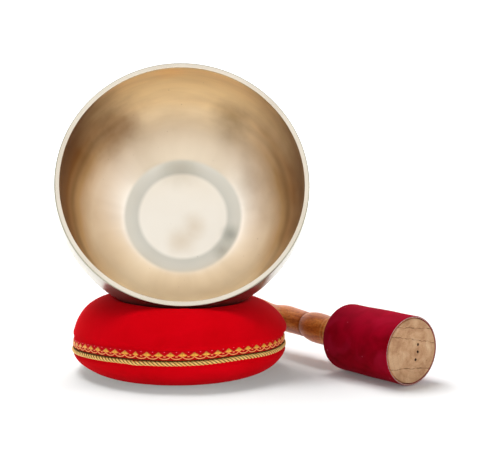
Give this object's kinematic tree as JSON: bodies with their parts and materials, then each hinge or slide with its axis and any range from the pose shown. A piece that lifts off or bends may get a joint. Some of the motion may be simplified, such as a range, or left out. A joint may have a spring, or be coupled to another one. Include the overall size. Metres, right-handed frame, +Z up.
{
  "type": "singing bowl",
  "caption": "Bronze singing bowl tipped on a round red cushion with gold trim, beside its suede-headed wooden mallet; struck or rubbed to ring.",
  "frame": {"origin": "middle of the cushion's flat base, on the floor", "axes": "+Z up, -Y towards the side that the bowl's mouth faces, +X from the bowl towards the mallet's head"},
  "size_m": [0.2442, 0.156, 0.2008],
  "materials": {
    "bowl_bronze": "satin brushed, with a polished lip",
    "cushion_cloth": "short-napped felt-like cloth",
    "filling": "loose cotton stuffing",
    "thread": "matte sewing thread",
    "trim_ribbon": "satin woven ribbon",
    "braid_gold": "shiny woven thread",
    "leaf_gold": "shiny embroidered thread",
    "dot_gold": "shiny embroidered thread",
    "dark_braid": "dull woven thread",
    "cord_gold": "shiny twisted cord",
    "turned_wood": "varnished handle, raw end face",
    "suede": "worn suede"
  },
  "bodies": {
    "cushion": {"cushion_top_cover": "cushion_cloth", "cushion_bottom_cover": "cushion_cloth", "cushion_filling": "filling", "cover_seam_thread": "thread", "trim_tape": "trim_ribbon", "trim_festoon_braid": "braid_gold", "trim_leaf_motifs": "leaf_gold", "trim_dots": "dot_gold", "trim_dark_line": "dark_braid", "trim_gold_cord": "cord_gold"},
    "bowl": {"bowl": "bowl_bronze"},
    "mallet": {"mallet_handle": "turned_wood", "mallet_suede_wrap": "suede"}
  },
  "joints": [
    {"name": "bowl_lift", "type": "slide", "parent": "cushion", "child": "bowl", "axis": [0, 0, 1], "range_m": [0, 0.15]},
    {"name": "mallet_lift", "type": "slide", "parent": "cushion", "child": "mallet", "axis": [0.5623, 0.4285, 0.7073], "range_m": [0, 0.15]}
  ]
}
